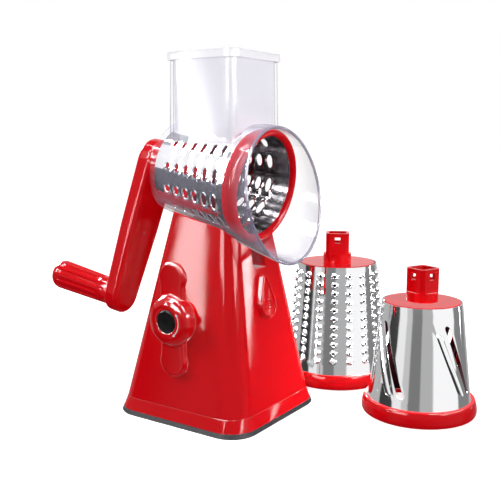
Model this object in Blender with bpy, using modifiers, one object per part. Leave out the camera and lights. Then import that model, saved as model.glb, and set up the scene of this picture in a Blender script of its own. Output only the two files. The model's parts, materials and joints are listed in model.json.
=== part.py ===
"""Hand cranked rotary vegetable cutter: suction stand, clear feed barrel, three drums, crank.

Metres, +Z up. The outlet mouth faces +X, the suction knob is on the -Y side, and the origin is the
centre of the rubber foot's underside. The drum turns about an axis that dips towards the mouth.
"""

import math

import bmesh
import bpy
from mathutils import Matrix, Vector

MM = 0.001
GAP = 0.3 * MM  # air between pieces that touch
SAFE = "MANIFOLD"  # the solver for long chains, where the exact one leaves open edges
RUN_GAP = 0.5 * MM  # air round pieces that turn or slide

# Stand
FOOT_HALF = (62.5 * MM, 60.0 * MM)
FOOT_CORNER = 21.0 * MM
FOOT_HEIGHT = 3.6 * MM
FOOT_SHRINK = 1.0 * MM  # how far the rubber draws in at its top
NIPPLE_RADIUS = 6.2 * MM
NIPPLE_TOP = 6.2 * MM
PARTING_HEIGHT = 13.0 * MM
TOWER_BASE_HALF = (58.5 * MM, 56.2 * MM)
TOWER_NECK_HEIGHT = 150.0 * MM
TOWER_NECK_HALF = (31.6 * MM, 29.7 * MM)
TOWER_NECK_SHIFT = 3.2 * MM
TOWER_BASE_CORNER = 19.5 * MM
TOWER_NECK_CORNER = 9.5 * MM
TOWER_TOP_BACK = 160.5 * MM
TOWER_TOP_SLOPE = math.radians(-11.0)
TOWER_WALL = 2.6 * MM
SKIRT_FLOOR = 4.0 * MM
SCREW_POSITION = (44.0 * MM, 42.0 * MM)
SCREW_RADIUS = 1.5 * MM
SCREW_HEAD_RADIUS = 3.2 * MM
SCREW_HEAD_HEIGHT = 1.8 * MM
SCREW_LENGTH = 15.0 * MM
BOSS_RADIUS = 5.5 * MM
BOSS_HEIGHT = 18.0 * MM
FOOT_SLOT_HALF = 8.7 * MM
FOOT_SLOT_FLOOR = 117.5 * MM
FOOT_SLOT_DEPTH = 34.0 * MM

# Head: the barrel, the drum and the crank share one tilted axis
HEAD_HEIGHT = 187.5 * MM
HEAD_TILT = math.radians(8.6)
BARREL_BACK = -39.0 * MM
BARREL_BACK_RADIUS = 36.6 * MM
BARREL_MOUTH = 33.0 * MM
BARREL_MOUTH_RADIUS = 45.0 * MM
BARREL_WALL = 1.9 * MM
RIM_CENTRE = (63.1 * MM, 174.3 * MM)
RIM_RADIUS = 52.0 * MM
RIM_TILT = math.radians(-9.0)
HOPPER_CENTRE = 7.7 * MM
HOPPER_HALF = (30.6 * MM, 32.2 * MM)
HOPPER_FLARE = 0.9 * MM  # how far each wall runs out on its way down
HOPPER_CORNER = 7.0 * MM
HOPPER_TOP = 274.0 * MM
HOPPER_WALL = 2.0 * MM
HOPPER_FOOT = 200.0 * MM
PUSHER_FLANGE = 5.7 * MM
PUSHER_TOP = HOPPER_TOP + GAP + PUSHER_FLANGE  # 280 mm, the height marked in the photo
PUSHER_LIP = 1.7 * MM
PUSHER_WALL = 1.8 * MM
PUSHER_BELLY_RADIUS = 42.0 * MM  # the hollow underneath, about the head's axis

# Drums
SHAFT_SIDE = 20.4 * MM
SHAFT_CHAMFER = 3.0 * MM
SHAFT_BORE = 15.6 * MM
BORE_CHAMFER = 1.2 * MM
SHAFT_LENGTH = 18.5 * MM
WINDOW_SIDE = 5.0 * MM
WINDOW_FROM_END = 6.0 * MM
COLLAR_RADIUS = 12.4 * MM
COLLAR_LENGTH = 7.6 * MM
FLANGE_THICKNESS = 2.0 * MM
SHELL_WALL = 0.6 * MM
RING_HEIGHT = 12.6 * MM
RING_LIP = 4.0 * MM  # the part of the ring past the shell's edge
RING_WALL = 1.2 * MM
SHELL_START = 0.3 * MM
DRUM_BACK = -36.6 * MM  # the mounted drum's flange on the head's axis
COARSE_LENGTH = 84.2 * MM
COARSE_RADII = (31.6 * MM, 39.4 * MM, 43.2 * MM)  # flange, shell at the mouth, ring
COARSE_ROWS = 12
COARSE_CELL = 0.6  # the part of a row's width that its holes' cells take
COARSE_TEETH = (9.0 * MM, 66.0 * MM)
COARSE_HOLE = ((2.6 * MM, 5.2 * MM), 2.5 * MM)  # half lengths at both ends of a row, and half width
COARSE_LIFT = (1.7 * MM, 0.2 * MM)
COARSE_TURN = math.radians(37)
FINE_LENGTH = 106.0 * MM
FINE_RADII = (33.5 * MM, 44.0 * MM, 47.0 * MM)
FINE_COLUMNS = 18
FINE_TEETH = (4.3 * MM, 85.4 * MM)
FINE_HOLE = 1.6 * MM
FINE_LIFT = 1.5 * MM
FINE_TURN = math.radians(62.6)
FINE_PHASE = math.radians(12.7)  # from a flat of the shaft to a row of teeth
FINE_POSITION = (43.3 * MM, 122.3 * MM)
SLICER_LENGTH = 90.0 * MM
SLICER_RADII = (30.4 * MM, 41.0 * MM, 45.4 * MM)
SLICER_TURN = math.radians(23.8)
SLICER_POSITION = (141.1 * MM, 79.5 * MM)
SLICER_STEPS = 48
SLOT_PAIRS = 4
SLOT_TURN = math.radians(10)
SLOT_SPAN = math.radians(-35)  # how far a slot turns from its start to its end
SLOT_ENDS = (13.6 * MM, 69.5 * MM)
SLOT_WIDTH = 5.2 * MM
BLADE_OFFSET = math.radians(15.4)
BLADE_ENDS = (19.0 * MM, 70.0 * MM)
BLADE_WIDTH = 5.6 * MM
BLADE_RISE = 1.2 * MM

# Crank
CRANK_INNER_FACE = -55.0 * MM
CRANK_THICKNESS = 14.0 * MM
CRANK_HUB_RADIUS = 18.5 * MM
CRANK_MID_HALF = 17.4 * MM
CRANK_END_RADIUS = 14.0 * MM
CRANK_LENGTH = 114.4 * MM
CRANK_SWING = math.radians(15.2)
PLUG_SIDE = SHAFT_BORE - 2 * GAP
GRIP_LENGTH = 68.0 * MM
GRIP_RADIUS = 12.2 * MM
GRIP_COLLAR_RADIUS = 10.6 * MM
GRIP_FLUTES = 12
AXLE_RADIUS = 3.0 * MM
AXLE_HEAD_RADIUS = 5.0 * MM

# Suction knob and its lift
KNOB_HEIGHT = 82.4 * MM
KNOB_BACK = 51.0 * MM
KNOB_FACE = 65.0 * MM
KNOB_RADIUS = 19.0 * MM
KNOB_ARM_BACK = 52.6 * MM
KNOB_ARM_FACE = 59.0 * MM
KNOB_ARM_HALF = 11.8 * MM
KNOB_REACH = 44.0 * MM
CAP_RADIUS = 8.6 * MM
CAP_THICKNESS = 3.4 * MM
CAM_SHAFT_RADIUS = 5.0 * MM
CAM_THROW = 2.0 * MM
CAM_PIN_RADIUS = 3.0 * MM
YOKE_HALF = (10.0 * MM, 7.5 * MM)
YOKE_THICKNESS = 5.4 * MM
ROD_RADIUS = 3.0 * MM
BRACKET_Y = 9.0 * MM
BRACKET_THICKNESS = 3.0 * MM

# Release button
BUTTON_HEIGHT = 89.2 * MM
BUTTON_RADIUS = 10.6 * MM
BUTTON_TIP = 23.5 * MM
BUTTON_PROUD = 4.4 * MM
BUTTON_FLANGE = 1.6 * MM

TURN_STEPS = 36
STEP_COS = math.cos(math.pi / TURN_STEPS)  # how far a turned piece's flats draw in

HEAD_AXIS = Vector((math.cos(HEAD_TILT), 0, -math.sin(HEAD_TILT)))
HEAD_DOWN = Vector((-math.sin(HEAD_TILT), 0, -math.cos(HEAD_TILT)))


def frame(x_axis, y_axis, z_axis, origin):
    columns = Matrix((x_axis, y_axis, z_axis)).transposed()
    return Matrix.Translation(origin) @ columns.to_4x4()


# Local Z runs along the drum's axis towards the mouth, local X points down.
HEAD = frame(HEAD_DOWN, Vector((0, 1, 0)), HEAD_AXIS, Vector((0, 0, HEAD_HEIGHT)))
# Local Z points out of the -Y side, local Y points up.
KNOB = frame(Vector((1, 0, 0)), Vector((0, 0, 1)), Vector((0, -1, 0)), Vector((0, 0, KNOB_HEIGHT)))


def start_scene():
    for obj in list(bpy.data.objects):
        bpy.data.objects.remove(obj)
    made = []
    for name in ("vegetable_cutter", "cutters"):
        made.append(bpy.data.collections.new(name))
        bpy.context.scene.collection.children.link(made[-1])
    return made


PARTS, CUTTERS = start_scene()


def finish(name, colour, roughness, metallic=0.0, transmission=0.0):
    material = bpy.data.materials.new(name)
    material.use_nodes = True
    shader = material.node_tree.nodes["Principled BSDF"]
    shader.inputs["Base Color"].default_value = (*colour, 1)
    shader.inputs["Roughness"].default_value = roughness
    shader.inputs["Metallic"].default_value = metallic
    shader.inputs["Transmission Weight"].default_value = transmission
    return material


RED = finish("red_plastic", (0.78, 0.01, 0.02), 0.18)
CLEAR = finish("clear_plastic", (0.95, 0.95, 0.98), 0.05, transmission=1.0)
STEEL = finish("stainless_steel", (0.8, 0.8, 0.82), 0.12, metallic=1.0)
BLACK_RUBBER = finish("black_rubber", (0.03, 0.03, 0.035), 0.6)
BLACK_PLASTIC = finish("black_plastic", (0.02, 0.02, 0.02), 0.4)
WHITE_PLASTIC = finish("white_plastic", (0.7, 0.7, 0.7), 0.4)


def add(name, mesh, material, place=None):
    """A finished piece where it has a material, and otherwise a cutter."""
    obj = bpy.data.objects.new(name, mesh)
    (PARTS if material else CUTTERS).objects.link(obj)
    if material:
        mesh.materials.append(material)
    else:
        obj.hide_render = True
        obj.display_type = "WIRE"
    if place:
        obj.matrix_world = place
    return obj


def smooth(mesh, angle=math.radians(32)):
    mesh.shade_smooth()
    mesh.set_sharp_from_angle(angle=angle)


def mesh_of(name, bm):
    mesh = bpy.data.meshes.new(name)
    bmesh.ops.recalc_face_normals(bm, faces=bm.faces)
    bm.to_mesh(mesh)
    bm.free()
    smooth(mesh)
    return mesh


def turned(name, profile, material=None, place=None, steps=TURN_STEPS):
    """A closed (radius, height) outline turned about local Z, running down its outer side."""
    mesh = bpy.data.meshes.new(name)
    points = [(radius, 0, height) for radius, height in profile]
    on_axis = profile[0][0] == 0 and profile[-1][0] == 0
    last = len(points) - 1 if on_axis else len(points)
    mesh.from_pydata(points, [(i, (i + 1) % len(points)) for i in range(last)], [])
    obj = add(name, mesh, material, place)
    screw = obj.modifiers.new("Turn", "SCREW")
    screw.steps = steps
    screw.render_steps = steps
    screw.use_merge_vertices = True
    screw.merge_threshold = 0.00001
    screw.use_smooth_shade = True
    return obj


def rod(name, radius, low, high, material=None, place=None, steps=TURN_STEPS):
    return turned(name, [(0, high), (radius, high), (radius, low), (0, low)], material, place, steps)


def box(name, low, high, material=None, place=None):
    bm = bmesh.new()
    size = [b - a for a, b in zip(low, high)]
    centre = [(a + b) / 2 for a, b in zip(low, high)]
    bmesh.ops.create_cube(bm, size=1, matrix=Matrix.Translation(centre) @ Matrix.Diagonal((*size, 1)))
    return add(name, mesh_of(name, bm), material, place)


def rounded_rectangle(half, corner, centre=(0, 0), arc_steps=4):
    """Points of a rectangle with round corners, anticlockwise."""
    points = []
    for quarter, (sx, sy) in enumerate(((1, 1), (-1, 1), (-1, -1), (1, -1))):
        for step in range(arc_steps + 1):
            angle = (quarter + step / arc_steps) * math.pi / 2
            x = centre[0] + sx * (half[0] - corner) + corner * math.cos(angle)
            y = centre[1] + sy * (half[1] - corner) + corner * math.sin(angle)
            points.append((x, y))
    return points


def loft(name, rings, material=None, place=None):
    """A closed solid through rings of equally many points."""
    bm = bmesh.new()
    layers = [[bm.verts.new(point) for point in ring] for ring in rings]
    count = len(layers[0])
    for lower, upper in zip(layers, layers[1:]):
        for i in range(count):
            j = (i + 1) % count
            bm.faces.new((lower[i], lower[j], upper[j], upper[i]))
    bm.faces.new(layers[0])
    bm.faces.new(layers[-1])
    return add(name, mesh_of(name, bm), material, place)


def prism(name, outline, low, high, material=None, place=None):
    """A flat outline in local XY, carried from one height to another."""
    rings = [[(x, y, z) for x, y in outline] for z in (low, high)]
    return loft(name, rings, material, place)


def boolean(obj, other, operation, solver):
    modifier = obj.modifiers.new(operation.title(), "BOOLEAN")
    modifier.operation = operation
    modifier.object = other
    modifier.solver = solver


def join(obj, *others, solver="EXACT"):
    for other in others:
        boolean(obj, other, "UNION", solver)


def cut(obj, *others, solver="EXACT"):
    for other in others:
        boolean(obj, other, "DIFFERENCE", solver)


def bevel(obj, width, segments=2, angle=math.radians(40)):
    modifier = obj.modifiers.new("Rounded edges", "BEVEL")
    modifier.width = width
    modifier.segments = segments
    modifier.limit_method = "ANGLE"
    modifier.angle_limit = angle


def tower_half(height):
    """Half widths, shift towards the mouth and corner radius of the tower at a height."""
    share = (height - PARTING_HEIGHT) / (TOWER_NECK_HEIGHT - PARTING_HEIGHT)
    half = [a + (b - a) * share for a, b in zip(TOWER_BASE_HALF, TOWER_NECK_HALF)]
    shift = TOWER_NECK_SHIFT * share
    corner = TOWER_BASE_CORNER + (TOWER_NECK_CORNER - TOWER_BASE_CORNER) * share
    return half, shift, corner


def tower_ring(height, inset=0.0):
    half, shift, corner = tower_half(height)
    inner = [side - inset for side in half]
    outline = rounded_rectangle(inner, corner - inset * 0.7, (shift, 0), arc_steps=6)
    return [(x, y, height) for x, y in outline]


def barrel_radius(along):
    share = (along - BARREL_BACK) / (BARREL_MOUTH - BARREL_BACK)
    return BARREL_BACK_RADIUS + (BARREL_MOUTH_RADIUS - BARREL_BACK_RADIUS) * share


def screw_places():
    return [(sx * SCREW_POSITION[0], sy * SCREW_POSITION[1]) for sx in (-1, 1) for sy in (-1, 1)]


def teardrop(grow=0.0):
    """Round at the bottom, drawn to a soft tip above, about the bulb's centre."""
    radius = BUTTON_RADIUS + grow
    tip = BUTTON_TIP + grow
    tip_radius = 2.5 * MM + grow
    lean = math.asin((radius - tip_radius) / (tip - tip_radius))
    points = []
    for step in range(15):
        angle = math.pi - lean + (math.pi + 2 * lean) * step / 14
        points.append((radius * math.cos(angle), radius * math.sin(angle)))
    for step in range(5):
        angle = lean + (math.pi - 2 * lean) * step / 4
        points.append((tip_radius * math.cos(angle), tip - tip_radius + tip_radius * math.sin(angle)))
    return points


def button_frame():
    """Local Z points out of the front wall, local Y up along it."""
    half, shift, _ = tower_half(BUTTON_HEIGHT)
    rise = TOWER_NECK_HEIGHT - PARTING_HEIGHT
    lean = math.atan((TOWER_BASE_HALF[0] - TOWER_NECK_HALF[0] - TOWER_NECK_SHIFT) / rise)
    out = Vector((math.cos(lean), 0, math.sin(lean)))
    up = Vector((-math.sin(lean), 0, math.cos(lean)))
    return frame(Vector((0, 1, 0)), up, out, Vector((half[0] + shift, 0, BUTTON_HEIGHT)))


BUTTON = button_frame()
BUTTON_SEAT = -17.0 * MM  # where the spring stands, behind the front wall's outer face
SEAT_HALF = 15.5 * MM
SEAT_WALL = 2.2 * MM
QUARTER_TURN = Matrix.Rotation(math.pi / 2, 4, "X")


def seat_outline():
    """A bridge behind the release button: two webs from the wall, and the plate the spring stands on."""
    back = BUTTON_SEAT - SEAT_WALL
    wall = -1.0 * MM
    inner = SEAT_HALF - SEAT_WALL
    return [(-SEAT_HALF, back), (SEAT_HALF, back), (SEAT_HALF, wall), (inner, wall),
            (inner, BUTTON_SEAT), (-inner, BUTTON_SEAT), (-inner, wall), (-SEAT_HALF, wall)]


def make_tower():
    top = TOWER_TOP_BACK + 4 * MM
    bottom = PARTING_HEIGHT + GAP
    shell = loft("tower_shell", [tower_ring(z) for z in (bottom, top)], RED)
    ceiling = FOOT_SLOT_FLOOR - 4 * MM
    hollow = loft("tower_hollow", [tower_ring(z, TOWER_WALL) for z in (bottom - MM, ceiling)])
    cut(shell, hollow, solver=SAFE)
    for number, (x, y) in enumerate(screw_places(), 1):
        place = Matrix.Translation((x, y, PARTING_HEIGHT))
        low = SKIRT_FLOOR + FOOT_HEIGHT + 2 * GAP - PARTING_HEIGHT
        boss = rod(f"screw_boss_{number}", BOSS_RADIUS, low, BOSS_HEIGHT, None, place, 16)
        depth = SCREW_LENGTH - 4 * MM
        hole = rod(f"screw_hole_{number}", SCREW_RADIUS + GAP, low - MM, depth, None, place, 12)
        join(shell, boss, solver=SAFE)
        cut(shell, hole, solver=SAFE)
    wall_y = tower_half(KNOB_HEIGHT)[0][1]
    boss = rod("knob_boss", 12 * MM, wall_y - 9 * MM, KNOB_BACK - 2.4 * MM, None, KNOB, 32)
    join(shell, boss, solver=SAFE)
    cut(shell, rod("knob_bore", 8 * MM + GAP, wall_y - 10 * MM, KNOB_BACK, None, KNOB, 32), solver=SAFE)
    seat_place = BUTTON @ QUARTER_TURN
    join(shell, prism("spring_seat", seat_outline(), -6 * MM, 6 * MM, None, seat_place), solver=SAFE)
    cut(shell, prism("button_opening", teardrop(GAP), -6 * MM, 6 * MM, None, BUTTON), solver=SAFE)
    pivot = Matrix.Translation((-30 * MM, 0, TOWER_TOP_BACK)) @ Matrix.Rotation(-TOWER_TOP_SLOPE, 4, "Y")
    top_cut = box("top_cut", (-40 * MM, -60 * MM, 0), (120 * MM, 60 * MM, 60 * MM), None, pivot)
    cut(shell, top_cut, solver=SAFE)
    saddle = [head_circle(-70 * MM, barrel_radius(-70 * MM) + GAP)]
    saddle += [flare_circle(share, -GAP) for share in (0, 0.5, 1)]
    cut(shell, loft("saddle_cut", saddle), solver=SAFE)
    slot_low = (36 * MM - FOOT_SLOT_DEPTH, -FOOT_SLOT_HALF, FOOT_SLOT_FLOOR)
    slot_high = (60 * MM, FOOT_SLOT_HALF, TOWER_NECK_HEIGHT)
    cut(shell, box("foot_slot", slot_low, slot_high), solver=SAFE)
    return shell


def make_base():
    floor = FOOT_HEIGHT + GAP
    spread = (FOOT_HALF[0] - FOOT_SHRINK, FOOT_HALF[1] - FOOT_SHRINK)

    def skirt_ring(height, inset=0.0):
        share = (height - floor) / (PARTING_HEIGHT - floor)
        half = [a + (b - a) * share - inset for a, b in zip(spread, TOWER_BASE_HALF)]
        corner = FOOT_CORNER + (TOWER_BASE_CORNER - FOOT_CORNER) * share - inset * 0.7
        return [(x, y, height) for x, y in rounded_rectangle(half, corner, arc_steps=6)]

    skirt = loft("base_skirt", [skirt_ring(z) for z in (floor, PARTING_HEIGHT)], RED)
    tray_floor = floor + SKIRT_FLOOR
    cut(skirt, loft("skirt_hollow", [skirt_ring(z, TOWER_WALL) for z in (tray_floor, PARTING_HEIGHT + MM)]))
    cut(skirt, rod("nipple_hole", NIPPLE_RADIUS + 0.8 * MM, 0, PARTING_HEIGHT, None, None, 32))
    for number, (x, y) in enumerate(screw_places(), 1):
        place = Matrix.Translation((x, y, floor))
        head = [
            (0, SCREW_HEAD_HEIGHT),
            (SCREW_HEAD_RADIUS, SCREW_HEAD_HEIGHT),
            (SCREW_HEAD_RADIUS, GAP),
            (0, GAP),
        ]
        shank = [(0, SCREW_LENGTH), (SCREW_RADIUS, SCREW_LENGTH)] + [(SCREW_RADIUS, head[1][1])] + head[1:]
        turned(f"base_screw_{number}", shank, STEEL, place, 12)
        radius, depth = SCREW_HEAD_RADIUS + GAP, SCREW_HEAD_HEIGHT + GAP
        cut(skirt, rod(f"head_hole_{number}", radius, -MM, depth, None, place, 12))
        cut(skirt, rod(f"shank_hole_{number}", SCREW_RADIUS + GAP, 0, 9 * MM, None, place, 12))

    foot_rings = []
    for height, draw_in in ((0, 0.6 * MM), (0.8 * MM, 0), (FOOT_HEIGHT, FOOT_SHRINK)):
        half = [side - draw_in for side in FOOT_HALF]
        outline = rounded_rectangle(half, FOOT_CORNER - draw_in, arc_steps=6)
        foot_rings.append([(x, y, height) for x, y in outline])
    foot = loft("suction_foot", foot_rings, BLACK_RUBBER)
    join(foot, rod("nipple", NIPPLE_RADIUS, FOOT_HEIGHT - MM, NIPPLE_TOP, None, None, 32))


def square_outline(side, chamfer):
    half = side / 2
    inner = half - chamfer
    return [(half, -inner), (half, inner), (inner, half), (-inner, half),
            (-half, inner), (-half, -inner), (-inner, -half), (inner, -half)]


def drum_hub(name, flange_radius, place):
    """Flange, collar and hollow square shaft. Local Z points from the shaft's end to the mouth."""
    back = -COLLAR_LENGTH
    end = back - SHAFT_LENGTH
    profile = [
        (0, FLANGE_THICKNESS),
        (flange_radius, FLANGE_THICKNESS),
        (flange_radius, 0.5 * MM),
        (flange_radius - 0.7 * MM, 0),
        (COLLAR_RADIUS, 0),
        (COLLAR_RADIUS, back),
        (0, back),
    ]
    hub = turned(name, profile, RED, place)
    outline = square_outline(SHAFT_SIDE, SHAFT_CHAMFER)
    join(hub, prism(f"{name}_shaft", outline, end, back + MM, None, place))
    bore = square_outline(SHAFT_BORE, BORE_CHAMFER)
    cut(hub, prism(f"{name}_bore", bore, end - MM, back + MM, None, place))
    half = WINDOW_SIDE / 2
    middle = end + WINDOW_FROM_END
    for axis in (0, 1):
        low = [-half, -half, middle - half]
        high = [half, half, middle + half]
        low[axis] = -SHAFT_SIDE
        high[axis] = SHAFT_SIDE
        cut(hub, box(f"{name}_window_{axis + 1}", low, high, None, place))
    return hub


class Drum:
    """Sizes of one drum. Local Z is 0 at the flange's back and points to the mouth."""

    def __init__(self, name, place, length, radii, flat):
        """Flat is the widest angle that one flat of the steel cone spans."""
        self.name, self.place, self.length = name, place, length
        self.flange_radius, self.mouth_radius, self.ring_radius = radii
        self.back_radius = (self.flange_radius + GAP) / math.cos(flat / 2) + SHELL_WALL
        self.shell_end = length - RING_LIP - GAP

    def shell_radius(self, along):
        """Outer radius of the steel cone."""
        return self.back_radius + (self.mouth_radius - self.back_radius) * along / self.shell_end

    def make_ring(self):
        """The red mouth ring, which holds the shell's wide end in a groove."""
        low = self.length - RING_HEIGHT
        inner = self.mouth_radius - SHELL_WALL - RING_WALL
        outer = self.ring_radius
        profile = [
            (inner, self.length - 2.0 * MM),
            (inner + 1.2 * MM, self.length),
            (outer - 1.8 * MM, self.length),
            (outer - 0.4 * MM, self.length - 1.6 * MM),
            (outer, self.length - 4.4 * MM),
            (outer - 0.5 * MM, self.length - 8.4 * MM),
            (outer - 1.9 * MM, low),
            ((self.shell_radius(low) + GAP) / STEP_COS, low),
            ((self.shell_radius(self.shell_end) + GAP) / STEP_COS, self.shell_end + GAP),
            (inner, self.shell_end + GAP),
        ]
        turned(f"{self.name}_ring", profile, RED, self.place)

    def make_hub(self):
        drum_hub(f"{self.name}_hub", self.flange_radius, self.place)

    def sheet(self, bm):
        """Gives an open surface the sheet's thickness, inwards."""
        obj = add(f"{self.name}_shell", mesh_of(f"{self.name}_shell", bm), STEEL, self.place)
        wall = obj.modifiers.new("Sheet", "SOLIDIFY")
        wall.thickness = SHELL_WALL
        wall.offset = -1
        return obj

    def make_grater(self, rows, first, last, count, cell_share, hole, sides, lift, phase=0.0):
        """A cone whose rows of raised holes run lengthways."""
        grid = Grid(self)
        pitch = (last - first) / count
        pierced = [first + pitch * number for number in range(count + 1)]
        step = math.tau / rows
        for row in range(rows):
            start, strip, end = [phase + (row + share) * step for share in (0, cell_share, 1)]
            grid.plain(start, strip, SHELL_START, first)
            grid.plain(start, strip, last, self.shell_end)
            for low, high in zip(pierced, pierced[1:]):
                share = (low - first) / (last - first)
                size = (hole[0][0] + (hole[0][1] - hole[0][0]) * share, hole[1])
                grid.tooth(start, strip, low, high, size, sides, lift)
            if cell_share < 1:
                for low, high in zip([SHELL_START] + pierced, pierced + [self.shell_end]):
                    grid.plain(strip, end, low, high)
        return self.sheet(grid.bm)


class Grid:
    """A drum's cone as an open surface of cells, some of them pierced and raised."""

    def __init__(self, drum):
        self.drum = drum
        self.bm = bmesh.new()
        self.known = {}

    def vert(self, turn, along, lift=0.0):
        radius = self.drum.shell_radius(along) + lift
        place = (radius * math.cos(turn), radius * math.sin(turn), along)
        key = tuple(round(value, 7) for value in place)
        if key not in self.known:
            self.known[key] = self.bm.verts.new(place)
        return self.known[key]

    def plain(self, turn_a, turn_b, low, high):
        ends = ((turn_a, low), (turn_b, low), (turn_b, high), (turn_a, high))
        self.bm.faces.new([self.vert(*end) for end in ends])

    def tooth(self, turn_a, turn_b, low, high, hole, sides, lift):
        """A cell whose middle is pierced: hole is its half length round the drum and half width along it."""
        turn_mid, mid = (turn_a + turn_b) / 2, (low + high) / 2
        radius = self.drum.shell_radius(mid)
        corners = ((turn_b, low), (turn_b, high), (turn_a, high), (turn_a, low))
        outer = [self.vert(*corner) for corner in corners]
        rim = []
        for step in range(sides):
            angle = math.tau * (step / sides - 1 / 12)
            around, along = math.cos(angle), math.sin(angle)
            place = (turn_mid + hole[0] / radius * around, mid + hole[1] * along)
            rim.append(self.vert(*place, lift(around, along)))
        done_out, done_rim = 0, 0
        while done_out < 4 or done_rim < sides:
            next_out = (done_out + 1) / 4 - 1 / 8
            next_rim = (done_rim + 1) / sides - 1 / 12
            here, mate = outer[done_out % 4], rim[done_rim % sides]
            if done_rim == sides or (done_out < 4 and next_out <= next_rim):
                done_out += 1
                self.bm.faces.new((here, outer[done_out % 4], mate))
            else:
                done_rim += 1
                self.bm.faces.new((here, rim[done_rim % sides], mate))


def standing(x, y, length, turn):
    """A drum on its mouth ring on the table."""
    flip = Matrix.Rotation(math.pi, 4, "X")
    return Matrix.Translation((x, y, length)) @ flip @ Matrix.Rotation(turn, 4, "Z")


def one_sided(height, floor):
    """A tooth that stands up on the side that meets the food first."""
    return lambda around, along: floor + (height - floor) * max(0.0, around)


def make_coarse_drum():
    place = HEAD @ Matrix.Translation((0, 0, DRUM_BACK)) @ Matrix.Rotation(COARSE_TURN, 4, "Z")
    drum = Drum("coarse_drum", place, COARSE_LENGTH, COARSE_RADII, math.tau / COARSE_ROWS * COARSE_CELL)
    drum.make_hub()
    drum.make_ring()
    drum.make_grater(COARSE_ROWS, *COARSE_TEETH, 6, COARSE_CELL, COARSE_HOLE, 6, one_sided(*COARSE_LIFT))


def make_fine_drum():
    place = standing(*FINE_POSITION, FINE_LENGTH, FINE_TURN)
    drum = Drum("fine_drum", place, FINE_LENGTH, FINE_RADII, math.tau / FINE_COLUMNS)
    drum.make_hub()
    drum.make_ring()
    hole = ((FINE_HOLE, FINE_HOLE), FINE_HOLE)
    drum.make_grater(FINE_COLUMNS, *FINE_TEETH, 11, 1, hole, 3, lambda around, along: FINE_LIFT, FINE_PHASE)


def slanted_strip(name, drum, turn, ends, width, inside, outside):
    """A bar with round ends along the cone. It turns as it goes, from this angle where the slots start."""
    low, high = ends
    round_end = width / 2
    corner = 0.3 * round_end
    steps = [low, low + corner, low + round_end]
    steps += [low + (high - low) * share for share in (0.25, 0.5, 0.75)]
    steps += [high - round_end, high - corner, high]
    rings = []
    for along in steps:
        angle = turn + SLOT_SPAN * (along - SLOT_ENDS[0]) / (SLOT_ENDS[1] - SLOT_ENDS[0])
        from_end = min(1.0, (along - low) / round_end, (high - along) / round_end)
        taper = max(0.06, math.sqrt(1 - (1 - from_end) ** 2))
        radius = drum.shell_radius(along)
        half = width / 2 * taper / radius
        ring = []
        for side, lift in ((-half, -inside), (half, -inside), (half, outside), (-half, outside)):
            reach = radius + lift
            ring.append((reach * math.cos(angle + side), reach * math.sin(angle + side), along))
        rings.append(ring)
    return loft(name, rings, None, drum.place)


def make_slicer_drum():
    place = standing(*SLICER_POSITION, SLICER_LENGTH, SLICER_TURN)
    drum = Drum("slicer_drum", place, SLICER_LENGTH, SLICER_RADII, math.tau / SLICER_STEPS)
    drum.make_hub()
    drum.make_ring()
    start, end = SHELL_START, drum.shell_end
    profile = [
        (drum.shell_radius(end) - SHELL_WALL, end),
        (drum.shell_radius(end), end),
        (drum.shell_radius(start), start),
        (drum.shell_radius(start) - SHELL_WALL, start),
    ]
    shell = turned("slicer_drum_shell", profile, STEEL, drum.place, SLICER_STEPS)
    for number in range(SLOT_PAIRS):
        turn = SLOT_TURN + math.tau * number / SLOT_PAIRS
        blade = slanted_strip(f"blade_{number + 1}", drum, turn + BLADE_OFFSET, BLADE_ENDS, BLADE_WIDTH,
                              SHELL_WALL * 0.8, BLADE_RISE)
        join(shell, blade, solver=SAFE)
        slot = slanted_strip(f"slot_{number + 1}", drum, turn, SLOT_ENDS, SLOT_WIDTH, 4 * MM, 4 * MM)
        cut(shell, slot, solver=SAFE)


def circle_ring(centre, radius, tilt, steps=48):
    """A circle across the XZ plane, its normal dipping by the tilt."""
    up = Vector((math.sin(tilt), 0, math.cos(tilt)))
    points = []
    for step in range(steps):
        angle = math.tau * step / steps
        points.append(Vector(centre) + radius * (math.cos(angle) * Vector((0, 1, 0)) + math.sin(angle) * up))
    return points


def head_circle(along, radius):
    return circle_ring(HEAD @ Vector((0, 0, along)), radius, HEAD_TILT)


def flare_circle(share, wall=0.0):
    """A circle of the flared mouth, from the barrel's end at 0 to the rim at 1."""
    start = HEAD @ Vector((0, 0, BARREL_MOUTH))
    end = Vector((RIM_CENTRE[0], 0, RIM_CENTRE[1]))
    radius = BARREL_MOUTH_RADIUS + (RIM_RADIUS - BARREL_MOUTH_RADIUS) * share - wall
    return circle_ring(start.lerp(end, share), radius, HEAD_TILT + (RIM_TILT - HEAD_TILT) * share)


def hopper_ring(height, inset=0.0):
    share = (HOPPER_TOP - height) / (HOPPER_TOP - HOPPER_FOOT)
    half = [side + HOPPER_FLARE * share - inset for side in HOPPER_HALF]
    outline = rounded_rectangle(half, HOPPER_CORNER - inset * 0.7, (HOPPER_CENTRE, 0))
    return [(x, y, height) for x, y in outline]


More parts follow.
